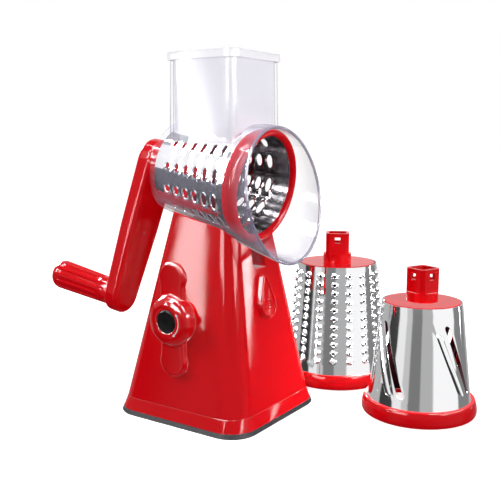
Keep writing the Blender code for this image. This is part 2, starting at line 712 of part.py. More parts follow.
def make_barrel():
    back = BARREL_BACK
    edge = 1.2 * MM
    outer = [head_circle(back, BARREL_BACK_RADIUS - edge)]
    outer.append(head_circle(back + edge, barrel_radius(back + edge)))
    outer += [flare_circle(share) for share in (0, 0.5, 1)]
    barrel = loft("feed_barrel", outer, CLEAR)
    inside = [head_circle(along, barrel_radius(along) - BARREL_WALL) for along in (back + BARREL_WALL,)]
    inside += [flare_circle(share, BARREL_WALL) for share in (0, 0.5, 1, 1.06)]
    join(barrel, loft("hopper_outside", [hopper_ring(z) for z in (HOPPER_FOOT, HOPPER_TOP)]), solver=SAFE)
    foot_low = (36 * MM - FOOT_SLOT_DEPTH + 2 * GAP, GAP - FOOT_SLOT_HALF, FOOT_SLOT_FLOOR + GAP)
    foot_high = (36 * MM, FOOT_SLOT_HALF - GAP, TOWER_NECK_HEIGHT + 2 * MM)
    join(barrel, box("foot_rail", foot_low, foot_high), solver=SAFE)
    cut(barrel, loft("barrel_inside", inside), solver=SAFE)
    hollow = [hopper_ring(z, HOPPER_WALL) for z in (HOPPER_FOOT - MM, HOPPER_TOP + MM)]
    cut(barrel, loft("hopper_inside", hollow), solver=SAFE)
    collar_hole = rod("collar_hole", COLLAR_RADIUS + GAP, back - MM, back + BARREL_WALL + MM, None, HEAD)
    cut(barrel, collar_hole, solver=SAFE)


def pusher_outline(grow):
    """The hopper's top outline, grown or drawn in. The pusher keeps it all the way down, so that it lifts out."""
    half = [side + grow for side in HOPPER_HALF]
    return rounded_rectangle(half, HOPPER_CORNER + grow * 0.7, (HOPPER_CENTRE, 0))


def make_pusher():
    gap = RUN_GAP + HOPPER_WALL
    low = HEAD_HEIGHT + 16 * MM
    flange_low = PUSHER_TOP - PUSHER_FLANGE
    pusher = prism("pusher", pusher_outline(-gap), low, flange_low + MM, CLEAR)
    flange = prism("pusher_flange", pusher_outline(PUSHER_LIP), flange_low, PUSHER_TOP)
    join(pusher, flange, solver=SAFE)
    cavity = prism("pusher_hollow", pusher_outline(-gap - PUSHER_WALL), low - 10 * MM, PUSHER_TOP + MM)
    belly_top = rod("belly_top", PUSHER_BELLY_RADIUS + PUSHER_WALL, -60 * MM, 70 * MM, None, HEAD)
    cut(cavity, belly_top, solver=SAFE)
    cut(pusher, cavity, solver=SAFE)
    cut(pusher, rod("belly", PUSHER_BELLY_RADIUS, -60 * MM, 70 * MM, None, HEAD), solver=SAFE)


def crank_outline():
    """The arm seen along the drum's axis: local X down, local Y to the side."""
    end = (CRANK_LENGTH * math.cos(CRANK_SWING), -CRANK_LENGTH * math.sin(CRANK_SWING))
    bulge = (CRANK_MID_HALF * math.sin(CRANK_SWING), CRANK_MID_HALF * math.cos(CRANK_SWING))
    lean = math.asin((CRANK_HUB_RADIUS - CRANK_END_RADIUS) / CRANK_LENGTH)
    points = []
    for centre, radius, start, stop, side in (
        ((0, 0), CRANK_HUB_RADIUS, math.pi / 2 - lean, 3 * math.pi / 2 + lean, -1),
        (end, CRANK_END_RADIUS, -math.pi / 2 + lean, math.pi / 2 - lean, 1),
    ):
        for step in range(11):
            angle = start + (stop - start) * step / 10 - CRANK_SWING
            points.append((centre[0] + radius * math.cos(angle), centre[1] + radius * math.sin(angle)))
        points.append((end[0] / 2 + side * bulge[0], end[1] / 2 + side * bulge[1]))
    return points, end


def make_crank():
    outline, end = crank_outline()
    outer_face = CRANK_INNER_FACE - CRANK_THICKNESS
    arm = prism("crank_arm", outline, outer_face, CRANK_INNER_FACE, RED, HEAD)
    bevel(arm, 2.0 * MM, 1)
    hub_end = BARREL_BACK - 2 * GAP
    hub = [
        (0, hub_end),
        (CRANK_HUB_RADIUS - 2.5 * MM, hub_end),
        (CRANK_HUB_RADIUS - 1.5 * MM, hub_end - MM),
        (CRANK_HUB_RADIUS - 0.5 * MM, CRANK_INNER_FACE - 4 * MM),
        (0, CRANK_INNER_FACE - 4 * MM),
    ]
    join(arm, turned("crank_hub", hub, None, HEAD), solver=SAFE)
    shaft_end = DRUM_BACK - COLLAR_LENGTH - SHAFT_LENGTH
    collar_end = DRUM_BACK - COLLAR_LENGTH - RUN_GAP
    pocket = rod("collar_pocket", COLLAR_RADIUS + RUN_GAP, collar_end, hub_end + MM, None, HEAD)
    cut(arm, pocket, solver=SAFE)
    turned_head = HEAD @ Matrix.Rotation(COARSE_TURN, 4, "Z")
    outline = square_outline(SHAFT_SIDE + 2 * GAP, SHAFT_CHAMFER)
    socket = prism("shaft_socket", outline, shaft_end - RUN_GAP, hub_end, None, turned_head)
    cut(arm, socket, solver=SAFE)
    outline = square_outline(PLUG_SIDE, BORE_CHAMFER)
    plug = prism("crank_plug", outline, shaft_end - 2 * MM, collar_end - 2 * MM, None, turned_head)
    join(arm, plug, solver=SAFE)
    end_place = HEAD @ Matrix.Translation((*end, outer_face))
    cut(arm, rod("axle_hole", AXLE_RADIUS + GAP, -GAP, 9 * MM, None, end_place, 24), solver=SAFE)
    grip_start = -RUN_GAP
    grip_end = grip_start - GRIP_LENGTH
    cap_seat = grip_end + 8.5 * MM
    head_seat = cap_seat + 4 * MM
    axle = [
        (0, 9 * MM - GAP),
        (AXLE_RADIUS, 9 * MM - GAP),
        (AXLE_RADIUS, head_seat),
        (AXLE_HEAD_RADIUS, head_seat),
        (AXLE_HEAD_RADIUS, head_seat - 2 * MM),
        (0, head_seat - 2 * MM),
    ]
    turned("grip_axle", axle, STEEL, end_place, 24)
    make_grip(end_place, grip_start, cap_seat, head_seat, grip_end)


def make_grip(place, start, cap_seat, head_seat, end):
    """The fluted grip. Heights fall from the arm's face to the domed end."""
    around = GRIP_FLUTES * 3
    levels = [
        (start, GRIP_COLLAR_RADIUS - 0.6 * MM, 0),
        (start - 0.8 * MM, GRIP_COLLAR_RADIUS, 0),
        (start - 9 * MM, GRIP_COLLAR_RADIUS + 0.5 * MM, 0),
        (start - 11 * MM, GRIP_COLLAR_RADIUS + 0.6 * MM, 1),
        (cap_seat + 4 * MM, GRIP_RADIUS, 1),
        (cap_seat + 2 * MM, GRIP_RADIUS, 0),
        (cap_seat, GRIP_RADIUS, 0),
    ]
    rings = []
    for height, radius, fluted in levels:
        ring = []
        for step in range(around):
            angle = math.tau * step / around
            depth = fluted * 0.9 * MM * (1 if step % 3 == 0 else 0)
            ring.append(((radius - depth) * math.cos(angle), (radius - depth) * math.sin(angle), height))
        rings.append(ring)
    grip = loft("crank_grip", rings, RED, place)
    bores = (
        rod("grip_bore", AXLE_RADIUS + RUN_GAP, cap_seat - MM, start + MM, None, place, 24),
        rod("head_bore", AXLE_HEAD_RADIUS + RUN_GAP, cap_seat - MM, head_seat + RUN_GAP, None, place, 24),
    )
    cut(grip, *bores, solver=SAFE)
    dome = [
        (0, cap_seat + 1.2 * MM),
        (AXLE_HEAD_RADIUS, cap_seat + 1.2 * MM),
        (AXLE_HEAD_RADIUS, cap_seat - GAP),
    ]
    reach = cap_seat - GAP - end
    for step in range(5):
        angle = math.pi / 2 * step / 4
        radius = GRIP_RADIUS * math.cos(angle) if step < 4 else 0
        dome.append((radius, cap_seat - GAP - reach * math.sin(angle)))
    turned("grip_cap", dome, RED, place, 24)


def bone_outline():
    """The knob's two arms with bulbed ends."""
    bulb = KNOB_ARM_HALF + 0.5 * MM
    waist = KNOB_ARM_HALF - 0.9 * MM
    centre = KNOB_REACH - bulb
    open_angle = math.acos(waist / bulb)
    points = []
    for side, start in ((1, -open_angle), (-1, math.pi - open_angle)):
        for step in range(11):
            angle = start + (math.pi + 2 * open_angle) * step / 10
            points.append((bulb * math.cos(angle), side * centre + bulb * math.sin(angle)))
    return points


def make_knob():
    recess = KNOB_FACE - CAP_THICKNESS - GAP
    pocket = recess - 2.4 * MM
    shaft_end = pocket - 2.4 * MM
    hub = [
        (0, recess),
        (CAP_RADIUS + GAP, recess),
        (CAP_RADIUS + GAP, KNOB_FACE),
        (KNOB_RADIUS - 6 * MM, KNOB_FACE),
        (KNOB_RADIUS - 2.6 * MM, KNOB_FACE - 1.3 * MM),
        (KNOB_RADIUS - 0.7 * MM, KNOB_FACE - 3.2 * MM),
        (KNOB_RADIUS, KNOB_FACE - 5.5 * MM),
        (KNOB_RADIUS, KNOB_FACE - 11.5 * MM),
        (KNOB_RADIUS - 1.5 * MM, KNOB_BACK),
        (0, KNOB_BACK),
    ]
    knob = prism("suction_knob", bone_outline(), KNOB_ARM_BACK, KNOB_ARM_FACE, RED, KNOB)
    bevel(knob, 1.6 * MM, 1)
    join(knob, turned("knob_hub", hub, None, KNOB), solver=SAFE)
    cut(knob, rod("recess_cut", CAP_RADIUS + GAP, recess, KNOB_FACE + MM, None, KNOB), solver=SAFE)
    shaft_cut = rod("shaft_cut", CAM_SHAFT_RADIUS + GAP, KNOB_BACK - MM, shaft_end, None, KNOB, 32)
    cut(knob, shaft_cut, solver=SAFE)
    cut(knob, rod("screw_pocket", 4.3 * MM, pocket, recess + MM, None, KNOB, 24), solver=SAFE)
    cut(knob, rod("screw_way", 2.2 * MM, shaft_end - MM, pocket + MM, None, KNOB, 24), solver=SAFE)
    cap = [
        (0, KNOB_FACE - 0.3 * MM),
        (CAP_RADIUS - 1.6 * MM, KNOB_FACE),
        (CAP_RADIUS - 0.7 * MM, KNOB_FACE + 0.3 * MM),
        (CAP_RADIUS, KNOB_FACE - 0.4 * MM),
        (CAP_RADIUS, recess + GAP),
        (0, recess + GAP),
    ]
    turned("knob_cap", cap, BLACK_PLASTIC, KNOB, 24)
    screw = [
        (0, recess - GAP),
        (3.8 * MM, recess - GAP),
        (3.8 * MM, pocket + GAP),
        (1.9 * MM, pocket + GAP),
        (1.9 * MM, shaft_end - 9 * MM),
        (0, shaft_end - 9 * MM),
    ]
    turned("knob_screw", screw, STEEL, KNOB, 24)

    shaft = rod("cam_shaft", CAM_SHAFT_RADIUS, 3.4 * MM, shaft_end - GAP, WHITE_PLASTIC, KNOB, 16)
    pin_place = KNOB @ Matrix.Translation((0, -CAM_THROW, 0))
    join(shaft, rod("cam_pin", CAM_PIN_RADIUS, -3.8 * MM, 3.8 * MM, None, pin_place, 16), solver=SAFE)
    join(shaft, rod("cam_web", CAM_SHAFT_RADIUS, -5.4 * MM, -3.4 * MM, None, KNOB, 16), solver=SAFE)
    back = -BRACKET_Y - BRACKET_THICKNESS - 0.6 * MM
    join(shaft, rod("cam_journal", CAM_PIN_RADIUS, back, -5 * MM, None, KNOB, 16), solver=SAFE)
    thread = rod("thread_hole", 2.2 * MM, shaft_end - 10 * MM, shaft_end + MM, None, KNOB, 12)
    cut(shaft, thread, solver=SAFE)

    wall_y = tower_half(KNOB_HEIGHT)[0][1]
    bush = [
        (CAM_SHAFT_RADIUS + GAP, KNOB_BACK - 1.2 * MM),
        (8 * MM, KNOB_BACK - 1.2 * MM),
        (8 * MM, wall_y - 9 * MM - GAP),
        (10.5 * MM, wall_y - 9 * MM - GAP),
        (10.5 * MM, wall_y - 11 * MM),
        (CAM_SHAFT_RADIUS + GAP, wall_y - 11 * MM),
    ]
    turned("shaft_bush", bush, WHITE_PLASTIC, KNOB, 24)


def make_lift():
    stud_foot = NIPPLE_TOP + GAP
    centre = KNOB_HEIGHT - CAM_THROW
    stud = rod("lift_stud", ROD_RADIUS, stud_foot + MM, centre - YOKE_HALF[1] + MM, STEEL, None, 24)
    disc = rod("stud_disc", NIPPLE_RADIUS - 0.4 * MM, stud_foot, stud_foot + 2 * MM, None, None, 24)
    join(stud, disc, solver=SAFE)
    half = YOKE_THICKNESS / 2
    across, rise = YOKE_HALF
    join(stud, box("yoke", (-across, -half, centre - rise), (across, half, centre + rise)), solver=SAFE)
    across = CAM_THROW + CAM_PIN_RADIUS + 0.6 * MM
    rise = CAM_PIN_RADIUS + 0.6 * MM
    slot = box("yoke_slot", (-across, -2 * half, centre - rise), (across, 2 * half, centre + rise))
    cut(stud, slot, solver=SAFE)

    floor = FOOT_HEIGHT + GAP + SKIRT_FLOOR + GAP
    back = BRACKET_Y + BRACKET_THICKNESS
    bracket = box("lift_bracket", (-11 * MM, BRACKET_Y, floor), (11 * MM, back, KNOB_HEIGHT + 8 * MM), STEEL)
    foot = box("bracket_foot", (-13 * MM, BRACKET_Y, floor), (13 * MM, back + 14 * MM, floor + 2.5 * MM))
    guide = box("guide_arm", (-7 * MM, -7 * MM, 26 * MM), (7 * MM, back - MM, 29 * MM))
    join(bracket, foot, guide, solver=SAFE)
    guide_hole = rod("guide_hole", ROD_RADIUS + GAP, 20 * MM, 34 * MM, None, None, 24)
    journal_hole = rod("journal_hole", CAM_PIN_RADIUS + GAP, -back - MM, -BRACKET_Y + MM, None, KNOB, 32)
    cut(bracket, guide_hole, journal_hole, solver=SAFE)


def helix(turns, radius, low, high, per_turn=8):
    """Points of a coil round local Z whose end turns lie flat."""
    points = []
    count = turns * per_turn
    for step in range(count + 1):
        share = step / per_turn
        rise = min(max(share - 0.75, 0.0), turns - 1.5) / (turns - 1.5)
        angle = math.tau * share
        points.append((radius * math.cos(angle), radius * math.sin(angle), low + (high - low) * rise))
    return points


def make_button():
    flange_back = -3.0 * MM - BUTTON_FLANGE
    button = prism("release_button", teardrop(), flange_back + MM, BUTTON_PROUD, RED, BUTTON)
    bevel(button, 0.9 * MM, 2)
    flange_front = flange_back + BUTTON_FLANGE
    flange = prism("button_flange", teardrop(1.5 * MM), flange_back, flange_front, None, BUTTON)
    join(button, flange, solver=SAFE)
    post = flange_back - 3 * MM
    join(button, rod("button_post", 3 * MM, post, flange_back + 0.5 * MM, None, BUTTON, 24), solver=SAFE)
    wire = 0.45 * MM
    curve = bpy.data.curves.new("button_spring", "CURVE")
    curve.dimensions = "3D"
    curve.bevel_depth = wire
    curve.bevel_resolution = 0
    curve.use_fill_caps = True
    spline = curve.splines.new("POLY")
    points = helix(5, 4.4 * MM, BUTTON_SEAT + wire + GAP, flange_back - wire - GAP)
    spline.points.add(len(points) - 1)
    for point, place in zip(spline.points, points):
        point.co = (*place, 1)
    spring = bpy.data.objects.new("button_spring", curve)
    curve.materials.append(STEEL)
    PARTS.objects.link(spring)
    spring.matrix_world = BUTTON


make_tower()
make_base()
make_barrel()
make_pusher()
make_coarse_drum()
make_crank()
make_knob()
make_lift()
make_button()
make_fine_drum()
make_slicer_drum()
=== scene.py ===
"""Looks of the vegetable cutter: procedural materials, detailed pieces, camera and studio."""

import json
import math

import bmesh
import bpy
from mathutils import Matrix, Vector


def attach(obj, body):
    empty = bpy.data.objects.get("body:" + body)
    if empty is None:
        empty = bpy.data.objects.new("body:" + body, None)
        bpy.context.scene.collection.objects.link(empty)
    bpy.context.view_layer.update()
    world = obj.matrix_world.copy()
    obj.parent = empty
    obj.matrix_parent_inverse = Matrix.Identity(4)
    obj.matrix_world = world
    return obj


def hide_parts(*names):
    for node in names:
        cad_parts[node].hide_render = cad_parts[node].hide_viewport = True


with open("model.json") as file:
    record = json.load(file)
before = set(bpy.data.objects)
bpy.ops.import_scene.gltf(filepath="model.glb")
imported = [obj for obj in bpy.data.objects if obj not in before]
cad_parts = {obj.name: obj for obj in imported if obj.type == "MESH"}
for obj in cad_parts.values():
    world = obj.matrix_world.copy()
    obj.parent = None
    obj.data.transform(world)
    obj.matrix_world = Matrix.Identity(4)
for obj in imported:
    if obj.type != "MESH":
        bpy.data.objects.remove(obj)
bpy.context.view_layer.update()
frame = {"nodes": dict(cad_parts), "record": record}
NODES = frame["nodes"]
MM = 0.001
SHARP = math.radians(32)  # edges that turn by more than this stay crisp

# Sizes that the detailed pieces share with the solids.
HEAD_TILT = math.radians(8.6)
HEAD_HEIGHT = 187.5 * MM
DRUM_BACK = -36.6 * MM
DRUM_TURN = math.radians(37)
SHELL_WALL = 0.6 * MM
CLEARANCE = 0.3 * MM  # between a drum's steel and its flange or ring
RING_HEIGHT = 12.6 * MM
RING_LIP = 4.0 * MM
COARSE_LENGTH = 84.2 * MM
COARSE_RADII = (31.6 * MM, 39.4 * MM, 43.2 * MM)  # flange, shell at the mouth, ring
FINE_LENGTH = 106.0 * MM
FINE_RADII = (33.5 * MM, 44.0 * MM, 47.0 * MM)
FINE_POSITION = (43.3 * MM, 122.3 * MM)
FINE_TURN = math.radians(62.6)
FINE_PHASE = math.radians(12.7)
SLICER_LENGTH = 90.0 * MM
SLICER_RADII = (30.4 * MM, 41.0 * MM, 45.4 * MM)
SLICER_POSITION = (141.1 * MM, 79.5 * MM)
SLICER_TURN = math.radians(23.8)
ARM_SWING = math.radians(15.2)
ARM_REACH = 114.4 * MM  # from the drum's axis to the grip's
GRIP_SEAT = -69.0 * MM  # where the grip meets the arm, along the drum's axis
TOWER_NECK = 31.6 * MM  # half the tower's depth under the barrel
TOWER_FOOT = 58.5 * MM  # the same at the parting line
TOWER_RISE = 137.0 * MM
PARTING_HEIGHT = 13.0 * MM
BUTTON_HEIGHT = 89.2 * MM
KNOB_HEIGHT = 82.4 * MM
FLARE_TILT = math.radians(-9.0)
FLARE_CENTRE = (63.1 * MM, 0, 174.3 * MM)
FLARE_RADIUS = 50.9 * MM


class Shader:
    """A Principled material and short ways to add nodes to it."""

    def __init__(self, name, colour, roughness, **more):
        self.material = bpy.data.materials.new(name)
        self.material.use_nodes = True
        self.tree = self.material.node_tree
        self.bsdf = self.tree.nodes["Principled BSDF"]
        self.set("Base Color", (*colour, 1))
        self.set("Roughness", roughness)
        for key, value in more.items():
            self.set(key.replace("_", " "), value)

    def set(self, socket, value):
        self.bsdf.inputs[socket].default_value = value

    def node(self, kind, inputs=None, **settings):
        made = self.tree.nodes.new(kind)
        for key, value in settings.items():
            setattr(made, key, value)
        for key, value in (inputs or {}).items():
            if isinstance(value, bpy.types.NodeSocket):
                self.tree.links.new(value, made.inputs[key])
            else:
                made.inputs[key].default_value = value
        return made

    def link(self, output, socket):
        self.tree.links.new(output, self.bsdf.inputs[socket])

    def noise(self, scale, detail=2.0, stretch=(1, 1, 1)):
        place = self.node("ShaderNodeTexCoord")
        mapping = self.node("ShaderNodeMapping", {"Vector": place.outputs["Object"], "Scale": stretch})
        where = mapping.outputs["Vector"]
        made = self.node("ShaderNodeTexNoise", {"Vector": where, "Scale": scale, "Detail": detail})
        return made.outputs["Fac"]

    def edge_on(self):
        """0 where the surface faces the viewer and 1 where the sight line runs along it."""
        return self.node("ShaderNodeLayerWeight", {"Blend": 0.5}).outputs["Facing"]

    def ramp(self, value, low, high, start=0.35, end=0.65):
        """A grey level or colour that runs from low to high as the value goes from start to end."""
        made = self.node("ShaderNodeValToRGB", {"Fac": value})
        for element, place, colour in zip(made.color_ramp.elements, (start, end), (low, high)):
            element.position = place
            element.color = (*colour, 1) if isinstance(colour, tuple) else (colour, colour, colour, 1)
        return made.outputs["Color"]

    def vary(self, socket, scale, low, high, detail=2.0, stretch=(1, 1, 1)):
        """Lets a socket wander between low and high, as real surfaces do."""
        self.link(self.ramp(self.noise(scale, detail, stretch), low, high), socket)

    def grain(self, scale, strength, distance, detail=2.0, stretch=(1, 1, 1)):
        """A fine unevenness in the surface's normal."""
        height = self.noise(scale, detail, stretch)
        made = self.node("ShaderNodeBump", {"Height": height, "Strength": strength, "Distance": distance})
        self.link(made.outputs["Normal"], "Normal")


def red_plastic(name="red_plastic", shine=0.09):
    made = Shader(name, (0.80, 0.006, 0.012), 0.12, Specular_IOR_Level=shine)
    made.vary("Base Color", 9, (0.74, 0.002, 0.006), (0.80, 0.003, 0.009), 3)
    made.vary("Roughness", 60, 0.045, 0.08, 3)
    made.grain(24, 0.02, 0.0005)
    return made.material


def clear_plastic(name="clear_plastic", tint=(0.60, 0.59, 0.68), haze=None):
    """Nearly invisible face on, violet grey where the sight line runs along it.

    Haze is how much cover the plastic gains along local X, and the places where that starts and ends.
    """
    made = Shader(name, (0.9, 0.9, 0.96), 0.03, Specular_IOR_Level=0.5)
    edge = made.edge_on()
    cover = made.ramp(edge, 0.05, 0.8, 0.5, 1.0)
    if haze:
        gain, start, end = haze
        place = made.node("ShaderNodeTexCoord").outputs["Object"]
        along = made.node("ShaderNodeSeparateXYZ", {"Vector": place}).outputs["X"]
        more = made.node("ShaderNodeMapRange", {0: along, 1: start, 2: end, 3: 0.0, 4: gain}).outputs[0]
        cover = made.node("ShaderNodeMath", {0: cover, 1: more}, operation="ADD").outputs[0]
    made.link(cover, "Alpha")
    made.link(made.ramp(edge, tint, (0.10, 0.08, 0.15), 0.6, 0.95), "Base Color")
    made.vary("Roughness", 12, 0.02, 0.06)
    made.grain(14, 0.02, 0.0005)
    return made.material


def frosted_plastic_painted_glow():
    """The pusher: whitish, so that the drum behind it hardly shows. Its faint white glow is painted light
    that brightens it.
    """
    made = Shader("frosted_plastic_painted_glow", (0.78, 0.76, 0.84), 0.12, Specular_IOR_Level=0.4)
    edge = made.edge_on()
    made.link(made.ramp(edge, (0.86, 0.85, 0.90), (0.28, 0.26, 0.38), 0.6, 0.97), "Base Color")
    made.link(made.ramp(edge, 0.4, 0.8, 0.5, 1.0), "Alpha")
    # Painted light: a faint white glow that brightens the pusher beyond what the lamps give.
    made.set("Emission Color", (0.96, 0.95, 1.0, 1))
    made.set("Emission Strength", 0.16)
    made.vary("Roughness", 20, 0.08, 0.16)
    made.grain(30, 0.02, 0.0005)
    return made.material


def clear_edge():
    """The lit, violet edge of the clear plastic."""
    made = Shader("clear_edge", (0.32, 0.28, 0.42), 0.08, Specular_IOR_Level=0.6, Alpha=0.55)
    made.vary("Base Color", 30, (0.26, 0.22, 0.36), (0.42, 0.38, 0.52))
    made.vary("Roughness", 60, 0.05, 0.12)
    return made.material


def polished_steel():
    """Steel polished in faint bands round the drum, with a grain along its axis."""
    made = Shader("stainless_steel", (0.84, 0.84, 0.85), 0.07, Metallic=1.0)
    made.vary("Roughness", 40, 0.045, 0.1, 3, (1, 1, 30))
    made.grain(120, 0.015, 0.0003, 3, (1, 1, 0.06))
    return made.material


def shaded_steel(name, colour):
    """Painted shade: the inside of a drum gets a darker steel colour, as it mirrors little more than its own
    dark hollow.
    """
    made = Shader(name, colour, 0.14, Metallic=1.0)
    made.vary("Roughness", 50, 0.10, 0.2, 3)
    made.grain(120, 0.02, 0.0003, 3)
    return made.material


def black_rubber():
    made = Shader("black_rubber", (0.014, 0.013, 0.016), 0.55, Specular_IOR_Level=0.12)
    made.vary("Roughness", 300, 0.45, 0.65, 3)
    made.grain(900, 0.12, 0.0003)
    return made.material


def black_plastic():
    made = Shader("black_plastic", (0.008, 0.008, 0.009), 0.35, Specular_IOR_Level=0.04)
    made.vary("Roughness", 200, 0.28, 0.42)
    made.grain(1200, 0.08, 0.0002)
    return made.material


def white_plastic():
    made = Shader("white_plastic", (0.75, 0.75, 0.73), 0.4)
    made.vary("Roughness", 150, 0.35, 0.5)
    made.grain(600, 0.06, 0.0002)
    return made.material


CLEAR_EDGE = clear_edge()
# Painted shade: darker steel for the drums' insides, a dark red one inside the slicer.
STEEL_INSIDE_SHADE = shaded_steel("steel_inside_painted_shade", (0.20, 0.19, 0.20))
SLICER_INSIDE_SHADE = shaded_steel("slicer_inside_painted_shade", (0.10, 0.015, 0.025))
MATERIALS = {
    "red_plastic": red_plastic(),
    "clear_plastic": clear_plastic(),
    "stainless_steel": polished_steel(),
    "black_rubber": black_rubber(),
    "black_plastic": black_plastic(),
    "white_plastic": white_plastic(),
}
FLARE_HAZE = (0.24, 46 * MM, 66 * MM)  # the flared mouth looks lilac against the white
SLOTS = {part["node"]: part["material_slot"] for part in frame["record"]["subparts"]}


def dress(name, bevel=0.0):
    """Gives a CAD node its material, smooth shading and, where asked, rounded edges."""
    obj = NODES[name]
    obj.data.materials.clear()
    obj.data.materials.append(MATERIALS[SLOTS[name]])
    weld = obj.modifiers.new("Weld", "WELD")
    weld.merge_threshold = 0.00001
    if bevel:
        rounded = obj.modifiers.new("Rounded edges", "BEVEL")
        rounded.width = bevel
        rounded.segments = 2
        rounded.limit_method = "ANGLE"
        rounded.angle_limit = math.radians(35)
    split = obj.modifiers.new("Edges", "EDGE_SPLIT")
    split.split_angle = SHARP
    even = obj.modifiers.new("Flat walls", "WEIGHTED_NORMAL")
    even.weight = 80
    for polygon in obj.data.polygons:
        polygon.use_smooth = True


def melt(name, voxel, rounds):
    """Rounds a moulded piece all over: its edges and inside corners run into each other."""
    obj = NODES[name]
    obj.modifiers.clear()
    remesh = obj.modifiers.new("Remesh", "REMESH")
    remesh.mode = "VOXEL"
    remesh.voxel_size = voxel
    remesh.use_smooth_shade = True
    relax = obj.modifiers.new("Relax", "SMOOTH")
    relax.factor = 0.5
    relax.iterations = rounds


def dress_solids():
    """Dresses every CAD node, then gives some of them a look of their own."""
    for name in NODES:
        dress(name, bevel=0.5 * MM if name == "pusher" else 0.0)
    NODES["suction_knob"].data.materials[0] = red_plastic("red_knob", 0.3)
    NODES["feed_barrel"].data.materials[0] = clear_plastic("clear_barrel", (0.56, 0.54, 0.68), FLARE_HAZE)
    NODES["pusher"].data.materials[0] = frosted_plastic_painted_glow()
    melt("suction_knob", 0.5 * MM, 14)
    melt("crank_arm", 0.6 * MM, 16)


def axes(x_axis, y_axis, z_axis, origin):
    """The place of a piece whose own axes point along the three given ones."""
    return Matrix.Translation(origin) @ Matrix((x_axis, y_axis, z_axis)).transposed().to_4x4()


# Local Z runs along the drum's axis towards the mouth, local X points down.
HEAD = axes(
    Vector((-math.sin(HEAD_TILT), 0, -math.cos(HEAD_TILT))),
    Vector((0, 1, 0)),
    Vector((math.cos(HEAD_TILT), 0, -math.sin(HEAD_TILT))),
    Vector((0, 0, HEAD_HEIGHT)),
)


def standing(x, y, length, turn):
    """The place of a drum that stands on its mouth ring."""
    flip = Matrix.Rotation(math.pi, 4, "X")
    return Matrix.Translation((x, y, length)) @ flip @ Matrix.Rotation(turn, 4, "Z")


def piece(name, bm, slot, body, place=None, replaced=()):
    """Makes a piece of the object from a bmesh."""
    mesh = bpy.data.meshes.new(name)
    bmesh.ops.recalc_face_normals(bm, faces=bm.faces)
    bm.to_mesh(mesh)
    bm.free()
    mesh.shade_smooth()
    mesh.set_sharp_from_angle(angle=SHARP)
    mesh.materials.append(MATERIALS[slot])
    obj = bpy.data.objects.new(name, mesh)
    bpy.context.scene.collection.objects.link(obj)
    if place:
        obj.matrix_world = place
    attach(obj, body)
    if replaced:
        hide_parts(*replaced)
    return obj


class Sheet:
    """A drum's steel cone as an open surface in the drum's own frame."""

    def __init__(self, place, length, radii, flat, slant=0.0):
        """Flat is the angle that one flat of the solid cone spans, slant the turn of a row per metre."""
        flange, self.mouth, _ = radii
        self.place, self.slant = place, slant
        self.end = length - RING_LIP - CLEARANCE
        self.back = (flange + CLEARANCE) / math.cos(flat / 2) + SHELL_WALL
        self.bm = bmesh.new()
        self.known = {}

    def radius(self, along):
        return self.back + (self.mouth - self.back) * along / self.end

    def vert(self, turn, along, lift=0.0):
        """A point of the surface, made once and shared by the faces round it."""
        reach = self.radius(along) + lift
        turn += self.slant * along
        place = (reach * math.cos(turn), reach * math.sin(turn), along)
        key = tuple(round(value, 6) for value in place)
        if key not in self.known:
            self.known[key] = self.bm.verts.new(place)
        return self.known[key]

    def face(self, *corners):
        if len(set(corners)) > 2:
            self.bm.faces.new([corner for i, corner in enumerate(corners) if corner is not corners[i - 1]])

    def plain(self, turn_a, turn_b, low, high, across, tall):
        """A stretch with no holes, in a grid of across by tall faces."""
        for i in range(across):
            a = turn_a + (turn_b - turn_a) * i / across
            b = turn_a + (turn_b - turn_a) * (i + 1) / across
            for j in range(tall):
                c = low + (high - low) * j / tall
                d = low + (high - low) * (j + 1) / tall
                self.face(self.vert(a, c), self.vert(b, c), self.vert(b, d), self.vert(a, d))

    def tooth(self, turn_a, turn_b, low, high, rings, across, tall, closed=False):
        """A cell with a raised middle, which is a hole unless it is closed.

        Rings lists the functions that give each ring's points, from the cell's border inwards.
        """
        mid_turn, mid = (turn_a + turn_b) / 2, (low + high) / 2
        half_turn, half = (turn_b - turn_a) / 2, (high - low) / 2
        border = []
        for i in range(across):
            border.append((-1 + 2 * i / across, -1))
        for i in range(tall):
            border.append((1, -1 + 2 * i / tall))
        for i in range(across):
            border.append((1 - 2 * i / across, 1))
        for i in range(tall):
            border.append((-1, 1 - 2 * i / tall))
        layer = [self.vert(mid_turn + u * half_turn, mid + v * half) for u, v in border]
        radius = self.radius(mid)
        for ring in rings:
            inner = []
            for u, v in border:
                angle = math.atan2(v * half, u * half_turn * radius)
                around, along, lift = ring(u, v, angle)
                inner.append(self.vert(mid_turn + around / radius, mid + along, lift))
            for i in range(len(border)):
                j = (i + 1) % len(border)
                self.face(layer[i], layer[j], inner[j], inner[i])
            layer = inner
        if closed:
            self.bm.faces.new(layer)

    def finish(self, name, body, node, inside=STEEL_INSIDE_SHADE):
        """Makes the piece: the wall's thickness goes inwards, where it has the inside's material, a darker
        steel that paints shade.
        """
        obj = piece(name, self.bm, "stainless_steel", body, self.place, (node,))
        sheet = obj.modifiers.new("Sheet", "SOLIDIFY")
        sheet.thickness = SHELL_WALL
        sheet.offset = -1
        obj.data.materials.append(inside)
        sheet.material_offset = 1
        sheet.material_offset_rim = 0
        crisp = obj.modifiers.new("Edges", "EDGE_SPLIT")
        crisp.split_angle = math.radians(50)


def oval(half_around, half_along, lift):
    """A ring of a tooth: its half sizes, and its height as a function of the angle."""
    return lambda u, v, angle: (half_around * math.cos(angle), half_along * math.sin(angle), lift(angle))


def stadium(half_around, half_along, lift, shift=0.0):
    """A ring round a long slot with round ends, shifted along it."""
    def place(u, v, angle):
        straight = half_along - half_around
        if abs(v) < 1:
            return math.copysign(half_around, u), v * straight + shift, lift
        bend = (1 - u) * math.pi / 2
        return half_around * math.cos(bend), v * (straight + half_around * math.sin(bend)) + shift, lift
    return place


def flat_lift(height):
    return lambda angle: height


def crown(height, jag, points=5):
    return lambda angle: height + jag * math.cos(points * angle)


